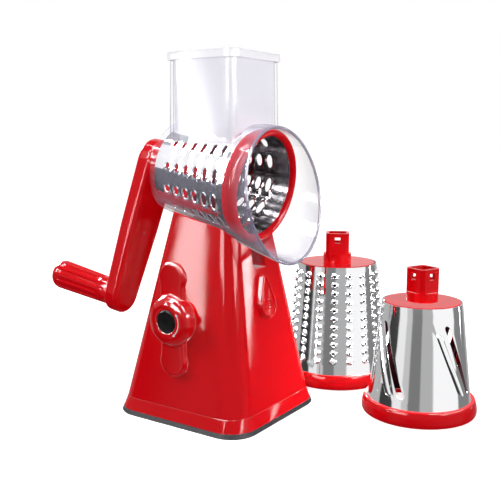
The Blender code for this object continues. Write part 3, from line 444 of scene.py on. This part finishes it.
def make_fine_shell(place):
    columns, count, first, last = 18, 11, 4.3 * MM, 85.4 * MM
    step, pitch = math.tau / columns, (last - first) / count
    sheet = Sheet(place, FINE_LENGTH, FINE_RADII, step)
    rings = [
        oval(3.2 * MM, 2.9 * MM, flat_lift(0)),
        oval(2.7 * MM, 2.5 * MM, flat_lift(0.4 * MM)),
        oval(2.3 * MM, 2.2 * MM, flat_lift(1.1 * MM)),
        oval(1.9 * MM, 1.9 * MM, crown(1.5 * MM, 0.15 * MM)),
        oval(1.4 * MM, 1.4 * MM, crown(1.6 * MM, 0.25 * MM)),
        oval(1.0 * MM, 1.0 * MM, crown(1.1 * MM, 0.2 * MM)),
    ]
    for column in range(columns):
        a, b = FINE_PHASE + column * step, FINE_PHASE + (column + 1) * step
        sheet.plain(a, b, CLEARANCE, first, 4, 1)
        sheet.plain(a, b, last, sheet.end, 4, 3)
        for row in range(count):
            low = first + pitch * row
            sheet.tooth(a, b, low, low + pitch, rings, 4, 4)
    sheet.finish("fine_drum_sheet", "fine_drum", "fine_drum_shell")


def one_side(height):
    """A lip that stands up on the side that meets the food first."""
    return lambda angle: height * (0.35 + 0.65 * max(0.0, math.cos(angle)) ** 0.7)


def make_coarse_shell(place):
    """The teeth grow from the drum's back to its mouth."""
    rows, count, first, last = 12, 6, 9 * MM, 66 * MM
    smallest, growth = 3.0 * MM, 2.9 * MM
    step, pitch = math.tau / rows, (last - first) / count
    sheet = Sheet(place, COARSE_LENGTH, COARSE_RADII, step * 0.6)
    for row in range(rows):
        a, b = row * step, (row + 1) * step
        sheet.plain(a, b, CLEARANCE, first, 8, 2)
        sheet.plain(a, b, last, sheet.end, 8, 3)
        for number in range(count):
            low = first + pitch * number
            size = smallest + growth * number / (count - 1)
            rings = [
                oval(size + 1.4 * MM, 3.8 * MM, flat_lift(0)),
                oval(size + 0.8 * MM, 3.4 * MM, one_side(0.35 * MM)),
                oval(size + 0.1 * MM, 2.8 * MM, one_side(0.9 * MM)),
                oval(size - 0.2 * MM, 2.5 * MM, one_side(1.05 * MM)),
            ]
            sheet.tooth(a, b, low, low + pitch, rings, 8, 6)
    sheet.finish("coarse_drum_sheet", "drum", "coarse_drum_shell")


def make_slicer_shell(place):
    """Four slanted slots, each with a raised blade beside it."""
    pairs, phase, cell = 4, math.radians(10), math.radians(15.4)
    first, last = 10 * MM, 73 * MM
    low, high = 13.6 * MM, 69.5 * MM
    half = (high - low) / 2
    slant = math.radians(-35) / (high - low)
    sheet = Sheet(place, SLICER_LENGTH, SLICER_RADII, math.tau / 48, slant)
    slot = [stadium(2.9 * MM, half + 0.3 * MM, 0), stadium(2.5 * MM, half, -0.1 * MM)]
    blade_shift, blade_half = 3.0 * MM, 25.5 * MM
    blade = [
        stadium(2.8 * MM, blade_half, 0, blade_shift),
        stadium(2.3 * MM, blade_half - 0.5 * MM, 0.7 * MM, blade_shift),
        stadium(1.6 * MM, blade_half - 1.2 * MM, 1.2 * MM, blade_shift),
        stadium(0.7 * MM, blade_half - 2.1 * MM, 1.0 * MM, blade_shift),
    ]
    for pair in range(pairs):
        start = phase + math.tau * pair / pairs - slant * low - cell / 2
        slot_end, blade_end, end = start + cell, start + 2 * cell, start + math.tau / pairs
        for a, b, across in ((start, slot_end, 6), (slot_end, blade_end, 6), (blade_end, end, 10)):
            sheet.plain(a, b, CLEARANCE, first, across, 2)
            sheet.plain(a, b, last, sheet.end, across, 3)
        sheet.tooth(start, slot_end, first, last, slot, 6, 20)
        sheet.tooth(slot_end, blade_end, first, last, blade, 6, 20, closed=True)
        sheet.plain(blade_end, end, first, last, 10, 20)
    sheet.finish("slicer_drum_sheet", "slicer_drum", "slicer_drum_shell", SLICER_INSIDE_SHADE)


def skin(bm, rings):
    """Joins rings of as many points each with faces, from each ring to the next."""
    for near, far in zip(rings, rings[1:]):
        for i in range(len(near)):
            bm.faces.new((near[i - 1], near[i], far[i], far[i - 1]))


def lathe(name, profile, slot, body, place, replaced=(), steps=96):
    """Turns a closed outline of (radius, height) about local Z."""
    bm = bmesh.new()
    rings = []
    for step in range(steps):
        angle = math.tau * step / steps
        rings.append([bm.verts.new((r * math.cos(angle), r * math.sin(angle), z)) for r, z in profile])
    skin(bm, rings + rings[:1])
    bmesh.ops.remove_doubles(bm, verts=bm.verts, dist=1e-6)
    return piece(name, bm, slot, body, place, replaced)


def softened(points, rounds=2):
    """Cuts the corners of an open outline, and keeps its two ends."""
    for _ in range(rounds):
        cut = [points[0]]
        for (r1, z1), (r2, z2) in zip(points, points[1:]):
            cut.append((r1 * 0.75 + r2 * 0.25, z1 * 0.75 + z2 * 0.25))
            cut.append((r1 * 0.25 + r2 * 0.75, z1 * 0.25 + z2 * 0.75))
        points = cut + [points[-1]]
    return points


def make_ring(drum, body, place, length, radii):
    """The red mouth ring with its rounded bead and the groove that the steel sits in."""
    _, mouth, outer = radii
    inner = mouth - SHELL_WALL - 1.2 * MM
    low, seat = length - RING_HEIGHT, length - RING_LIP
    bead = softened([
        (inner, seat),
        (inner, length - 2.0 * MM),
        (inner + 1.2 * MM, length),
        (outer - 1.8 * MM, length),
        (outer - 0.2 * MM, length - 1.6 * MM),
        (outer, length - 4.6 * MM),
        (outer - 0.5 * MM, length - 8.4 * MM),
        (outer - 1.9 * MM, low),
        (outer - 2.6 * MM, low),
    ])
    groove = [(mouth - 0.4 * MM, low), (mouth + 0.15 * MM, seat)]
    lathe(f"{drum}_bead", bead + groove, "red_plastic", body, place, (f"{drum}_ring",))


def make_grip():
    """The fluted grip and its domed cap, in the frame of the arm's end."""
    arm_end = (ARM_REACH * math.cos(ARM_SWING), -ARM_REACH * math.sin(ARM_SWING), GRIP_SEAT)
    place = HEAD @ Matrix.Translation(arm_end)
    start, flute_start, flute_end, seat, end = -0.5 * MM, -13 * MM, -57.5 * MM, -60 * MM, -68.5 * MM
    thin, thick, bore, counterbore, recess = 10.9 * MM, 12.2 * MM, 3.5 * MM, 5.5 * MM, 4.5 * MM
    around, flutes, flute_depth = 144, 12, 1.0 * MM
    rows = [(start, 10.0 * MM, 0), (start - 0.3 * MM, 10.4 * MM, 0), (start - 1.2 * MM, 10.7 * MM, 0)]
    wall_start, steps = -7 * MM, 30
    for step in range(steps + 1):
        height = wall_start + (seat - wall_start) * step / steps
        radius = thin + (thick - thin) * (height - start) / (seat - start)
        run = min(height - flute_end, flute_start - height) / (3 * MM)
        fluted = min(1.0, max(0.0, run + 0.5))
        rows.append((height, radius, fluted * fluted * (3 - 2 * fluted)))
    rows += [
        (seat, counterbore, 0), (seat + recess, counterbore, 0),
        (seat + recess, bore, 0), (start, bore, 0),
    ]
    bm = bmesh.new()
    rings = []
    for height, radius, fluted in rows:
        ring = []
        for step in range(around):
            angle = math.tau * step / around
            groove = min(1.0, max(0.0, 0.8 + 1.6 * math.cos(flutes * angle)))
            reach = radius - flute_depth * fluted * groove
            ring.append(bm.verts.new((reach * math.cos(angle), reach * math.sin(angle), height)))
        rings.append(ring)
    skin(bm, rings + rings[:1])
    piece("grip_body", bm, "red_plastic", "grip", place, ("crank_grip",))

    plug, plug_end, rim = 5.0 * MM, seat + 1.2 * MM, seat - 0.3 * MM
    dome = [(0, plug_end), (plug, plug_end), (plug, rim)]
    for step in range(13):
        angle = math.pi / 2 * step / 12
        dome.append((thick * math.cos(angle), rim - (rim - end) * math.sin(angle)))
    lathe("grip_dome", dome, "red_plastic", "grip", place, ("grip_cap",))


def teardrop(inset):
    """The release button's outline about its bulb, drawn in by an inset."""
    radius, tip = 10.6 * MM - inset, 23.5 * MM - inset
    tip_radius = max(0.4 * MM, 2.5 * MM - inset)
    lean = math.asin((radius - tip_radius) / (tip - tip_radius))
    points = []
    for step in range(41):
        angle = math.pi - lean + (math.pi + 2 * lean) * step / 40
        points.append((radius * math.cos(angle), radius * math.sin(angle)))
    for step in range(11):
        angle = lean + (math.pi - 2 * lean) * step / 10
        points.append((tip_radius * math.cos(angle), tip - tip_radius + tip_radius * math.sin(angle)))
    return points


def make_button():
    """The raised teardrop with a soft rim, a sunk field, grip dots at its foot and a post behind."""
    neck = TOWER_NECK + 3.2 * MM
    lean = math.atan((TOWER_FOOT - neck) / TOWER_RISE)
    front = TOWER_FOOT - (TOWER_FOOT - neck) * (BUTTON_HEIGHT - PARTING_HEIGHT) / TOWER_RISE
    out = Vector((math.cos(lean), 0, math.sin(lean)))
    up = Vector((-math.sin(lean), 0, math.cos(lean)))
    place = axes(Vector((0, 1, 0)), up, out, Vector((front, 0, BUTTON_HEIGHT)))
    back, flange, field = -4.6 * MM, -3.0 * MM, 3.3 * MM
    levels = [
        (-1.5 * MM, back), (-1.5 * MM, flange), (0, flange), (0, 3.2 * MM), (0.25 * MM, 3.9 * MM),
        (0.8 * MM, 4.3 * MM), (1.5 * MM, 4.4 * MM), (2.1 * MM, 4.2 * MM), (2.6 * MM, 3.5 * MM),
        (3.2 * MM, field),
    ]
    bm = bmesh.new()
    rings = [[bm.verts.new((x, y, z)) for x, y in teardrop(inset)] for inset, z in levels]
    skin(bm, rings)
    bm.faces.new(rings[0])
    bm.faces.new(rings[-1])

    post_radius, post_length, post_sink = 3 * MM, 3.5 * MM, 0.5 * MM
    post = Matrix.Translation((0, 0, back + post_sink - post_length / 2))
    bmesh.ops.create_cone(
        bm, cap_ends=True, segments=24, radius1=post_radius, radius2=post_radius,
        depth=post_length, matrix=post,
    )
    dot_radius, column_pitch, row_pitch = 0.62 * MM, 2.1 * MM, 2.0 * MM
    for row in range(4):
        odd = row % 2
        for column in range(5 - odd):
            x, y = (column - 2 + odd / 2) * column_pitch, (row - 1.6) * row_pitch
            dot = Matrix.Translation((x, y, field)) @ Matrix.Diagonal((1, 1, 0.7, 1))
            bmesh.ops.create_icosphere(bm, subdivisions=2, radius=dot_radius, matrix=dot)
    piece("button_face", bm, "red_plastic", "button", place, ("release_button",))


def make_arrow():
    """The thin double-headed arc printed beside the knob's cap."""
    place = axes(Vector((1, 0, 0)), Vector((0, 0, 1)), Vector((0, -1, 0)), Vector((0, 0, KNOB_HEIGHT)))
    low, high = 64.7 * MM, 65.12 * MM  # the print's two faces, outwards from the object's middle
    radius, steps = 11.8 * MM, 24
    start, sweep = math.radians(-58), math.radians(96)
    line_half, head_halves = 0.32 * MM, (0.05 * MM, 0.55 * MM, 1.0 * MM)
    bm = bmesh.new()
    sections = []
    for step in range(steps + 1):
        angle = start + sweep * step / steps
        from_end = min(step, steps - step)
        half = head_halves[from_end] if from_end < len(head_halves) else line_half
        corners = ((radius - half, low), (radius + half, low), (radius + half, high), (radius - half, high))
        sections.append([bm.verts.new((r * math.cos(angle), r * math.sin(angle), z)) for r, z in corners])
    skin(bm, sections)
    bm.faces.new(sections[0])
    bm.faces.new(sections[-1])
    piece("knob_arrow", bm, "white_plastic", "knob", place)


def make_rim():
    """The rounded edge of the clear flared mouth."""
    along = Vector((math.cos(FLARE_TILT), 0, -math.sin(FLARE_TILT)))
    up = Vector((math.sin(FLARE_TILT), 0, math.cos(FLARE_TILT)))
    place = axes(up, Vector((0, 1, 0)), along, Vector(FLARE_CENTRE))
    thick = 1.15 * MM
    profile = []
    for step in range(16):
        angle = math.tau * step / 16
        profile.append((FLARE_RADIUS + thick * math.cos(angle), thick * math.sin(angle)))
    rim = lathe("barrel_rim", profile, "clear_plastic", "head", place, steps=128)
    rim.data.materials[0] = CLEAR_EDGE


def make_drums():
    head_place = HEAD @ Matrix.Translation((0, 0, DRUM_BACK)) @ Matrix.Rotation(DRUM_TURN, 4, "Z")
    fine_place = standing(*FINE_POSITION, FINE_LENGTH, FINE_TURN)
    slicer_place = standing(*SLICER_POSITION, SLICER_LENGTH, SLICER_TURN)
    make_coarse_shell(head_place)
    make_fine_shell(fine_place)
    make_slicer_shell(slicer_place)
    make_ring("coarse_drum", "drum", head_place, COARSE_LENGTH, COARSE_RADII)
    make_ring("fine_drum", "fine_drum", fine_place, FINE_LENGTH, FINE_RADII)
    make_ring("slicer_drum", "slicer_drum", slicer_place, SLICER_LENGTH, SLICER_RADII)


def area_light(name, place, target, size, power):
    data = bpy.data.lights.new(name, "AREA")
    data.shape = "RECTANGLE"
    data.size, data.size_y = size
    data.energy = power
    light = bpy.data.objects.new(name, data)
    bpy.context.scene.collection.objects.link(light)
    light.location = place
    light.rotation_euler = (Vector(target) - Vector(place)).to_track_quat("-Z", "Y").to_euler()


# What the steel mirrors near the horizon: the azimuth in degrees where each band starts, and its brightness.
BANDS = (
    (-180, 0.5), (-166, 0.05), (-129, 0.95), (-107, 0.62), (-92, 0.22),
    (-66, 0.5), (-37, 1.1), (27, 0.25), (78, 0.5),
)
# The same by height, as the sine of the elevation. The bands show where there is no brightness.
HEIGHTS = ((-1, 0.28), (-0.72, 0.03), (-0.42, None), (0.03, 1.0), (0.72, 0.4))
BAND_EDGE = 0.004  # half the width of a soft edge, as a share of the full turn or height
AMBIENT = 0.42
WHITE = 1.0


def make_world():
    """White behind the object, softly lit all round, and banded like a studio in its reflections."""
    world = bpy.data.worlds.new("studio")
    bpy.context.scene.world = world
    world.use_nodes = True
    tree = world.node_tree

    def node(kind, inputs=(), **settings):
        made = tree.nodes.new(kind)
        for key, value in settings.items():
            setattr(made, key, value)
        for socket, value in zip(made.inputs, inputs):
            if isinstance(value, bpy.types.NodeSocket):
                tree.links.new(value, socket)
            elif value is not None:
                socket.default_value = value
        return made

    def steps(value, stops):
        """A ramp of flat steps with narrow soft edges, from (place from 0 to 1, brightness)."""
        made = node("ShaderNodeValToRGB", (value,))
        elements = made.color_ramp.elements
        elements[0].color = (stops[0][1],) * 3 + (1,)
        elements.remove(elements[1])
        for (_, before), (place, after) in zip(stops, stops[1:]):
            for shift, level in ((-BAND_EDGE, before), (BAND_EDGE, after)):
                element = elements.new(place + shift)
                element.color = (level, level, level, 1)
        return made.outputs["Color"]

    direction = node("ShaderNodeTexCoord").outputs["Generated"]
    parts = node("ShaderNodeSeparateXYZ", (direction,)).outputs
    azimuth = node("ShaderNodeMath", (parts["Y"], parts["X"]), operation="ARCTAN2").outputs[0]
    azimuth = node("ShaderNodeMapRange", (azimuth, -math.pi, math.pi, 0, 1)).outputs[0]
    height = node("ShaderNodeMapRange", (parts["Z"], -1, 1, 0, 1)).outputs[0]
    bands = steps(azimuth, [((degrees + 180) / 360, level) for degrees, level in BANDS])
    levels = steps(height, [((sine + 1) / 2, level or 0) for sine, level in HEIGHTS])
    where = steps(height, [((sine + 1) / 2, float(level is None)) for sine, level in HEIGHTS])
    studio = node("ShaderNodeMix", data_type="RGBA")
    tree.links.new(where, studio.inputs["Factor"])
    tree.links.new(levels, studio.inputs[6])
    tree.links.new(bands, studio.inputs[7])
    mirrored = node("ShaderNodeBackground", (studio.outputs[2],))
    lit = node("ShaderNodeBackground", ((AMBIENT, AMBIENT, AMBIENT, 1),))
    shown = node("ShaderNodeBackground", ((WHITE, WHITE, WHITE, 1),))
    path = node("ShaderNodeLightPath").outputs
    mixed = node("ShaderNodeMixShader", (path["Is Glossy Ray"], shown.outputs[0], mirrored.outputs[0]))
    mixed = node("ShaderNodeMixShader", (path["Is Diffuse Ray"], mixed.outputs[0], lit.outputs[0]))
    tree.links.new(mixed.outputs[0], tree.nodes["World Output"].inputs["Surface"])


def card(name, corners, brightness):
    """A white studio card that is seen only in reflections."""
    mesh = bpy.data.meshes.new(name)
    mesh.from_pydata(corners, [], [range(len(corners))])
    material = bpy.data.materials.new(name)
    material.use_nodes = True
    tree = material.node_tree
    tree.nodes.remove(tree.nodes["Principled BSDF"])
    glow = tree.nodes.new("ShaderNodeEmission")
    glow.inputs["Color"].default_value = (WHITE, WHITE, WHITE, 1)
    glow.inputs["Strength"].default_value = brightness
    tree.links.new(glow.outputs[0], tree.nodes["Material Output"].inputs["Surface"])
    mesh.materials.append(material)
    obj = bpy.data.objects.new(name, mesh)
    bpy.context.scene.collection.objects.link(obj)
    obj.visible_camera = False
    obj.visible_diffuse = False
    obj.visible_transmission = False
    obj.visible_shadow = False


def softbox(name, azimuths, elevations, brightness):
    """A card on a sphere about the object, between two azimuths and two elevations in degrees."""
    centre, distance = Vector((0, 0, 0.12)), 1.2
    (left, right), (low, high) = azimuths, elevations
    corners = []
    for azimuth, elevation in ((left, low), (right, low), (right, high), (left, high)):
        around, up = math.radians(azimuth), math.radians(elevation)
        direction = Vector((math.cos(around) * math.cos(up), math.sin(around) * math.cos(up), math.sin(up)))
        corners.append(centre + distance * direction)
    card(name, corners, brightness)


def upright_card(name, distance, outline, brightness):
    """A card on an upright cylinder about the stand: its outline in azimuths in degrees and heights."""
    corners = []
    for azimuth, height in outline:
        around = math.radians(azimuth)
        corners.append((distance * math.cos(around), distance * math.sin(around), height))
    card(name, corners, brightness)


def make_cards():
    """Each card is the highlight that the photo shows on one part of the red plastic."""
    softbox("left softbox", (-128, -112), (26, 60), 110)
    softbox("right softbox", (-33, -11), (32, 58), 100)
    softbox("top softbox", (-170, -70), (52, 78), 90)
    softbox("low left softbox", (158, 180), (18, 36), 110)
    softbox("ring softbox left", (-116, -84), (9, 21), 45)
    softbox("ring softbox right", (-18, 34), (9, 21), 45)
    side_patch = [(-129.4, 0.205), (-122.6, 0.108), (-125.8, 0.277), (-127.3, 0.360), (-129.8, 0.360)]
    upright_card("wall card", 0.702, side_patch, 55)
    front_stripe = [
        (52.5, 0.228), (51.9, 0.2015), (49.6, 0.105), (48.0, 0.031), (46.7, -0.031),
        (48.5, 0.029), (50.8, 0.0996), (53.2, 0.189), (54.2, 0.221),
    ]
    upright_card("wall stripe card", 0.754, front_stripe, 45)


# Pieces that stand between the cards and what should mirror them.
NOT_MIRRORED = (
    "tower_shell", "base_skirt", "suction_foot", "suction_knob", "knob_cap",
    "slicer_drum_sheet", "slicer_drum_bead", "slicer_drum_hub",
)


def make_floor():
    """A white table that shows soft shadows and adds no light of its own to the object."""
    half = 9
    mesh = bpy.data.meshes.new("floor")
    corners = [(-half, -half, 0), (half, -half, 0), (half, half, 0), (-half, half, 0)]
    mesh.from_pydata(corners, [], [range(len(corners))])
    floor = bpy.data.objects.new("floor", mesh)
    bpy.context.scene.collection.objects.link(floor)
    made = Shader("floor", (0.92, 0.92, 0.92), 0.8, Specular_IOR_Level=0.1)
    made.set("Emission Color", (WHITE, WHITE, WHITE, 1))
    made.set("Emission Strength", 0.66)
    mesh.materials.append(made.material)
    floor.visible_glossy = False
    floor.visible_diffuse = False


def make_studio():
    make_world()
    area_light("key", (-0.5, -0.8, 0.8), (0, 0, 0.12), (0.5, 0.5), 3.3)
    area_light("fill", (1.0, 0.0, 0.5), (0.05, 0.05, 0.1), (0.5, 0.6), 2.5)
    area_light("top", (0.1, 0.1, 1.1), (0.05, 0.05, 0), (0.9, 0.9), 4)
    make_cards()
    make_floor()
    for name in NOT_MIRRORED:
        bpy.data.objects[name].visible_glossy = False


def make_camera():
    """The camera that was fitted to the two sizes marked in the photo."""
    azimuth, pitch = math.radians(34.06), math.radians(8.79)
    level = math.cos(pitch)
    view = Vector((-math.sin(azimuth) * level, math.cos(azimuth) * level, -math.sin(pitch)))
    data = bpy.data.cameras.new("camera")
    data.sensor_width = 36
    data.lens = 55.46
    data.clip_start = 0.01
    camera = bpy.data.objects.new("camera", data)
    bpy.context.scene.collection.objects.link(camera)
    camera.location = (0.36144, -0.48857, 0.22185)
    camera.rotation_euler = view.to_track_quat("-Z", "Y").to_euler()
    bpy.context.scene.camera = camera


dress_solids()
make_drums()
make_grip()
make_button()
make_arrow()
make_rim()
make_studio()
make_camera()
bpy.context.scene.view_settings.view_transform = "Standard"
bpy.context.view_layer.update()
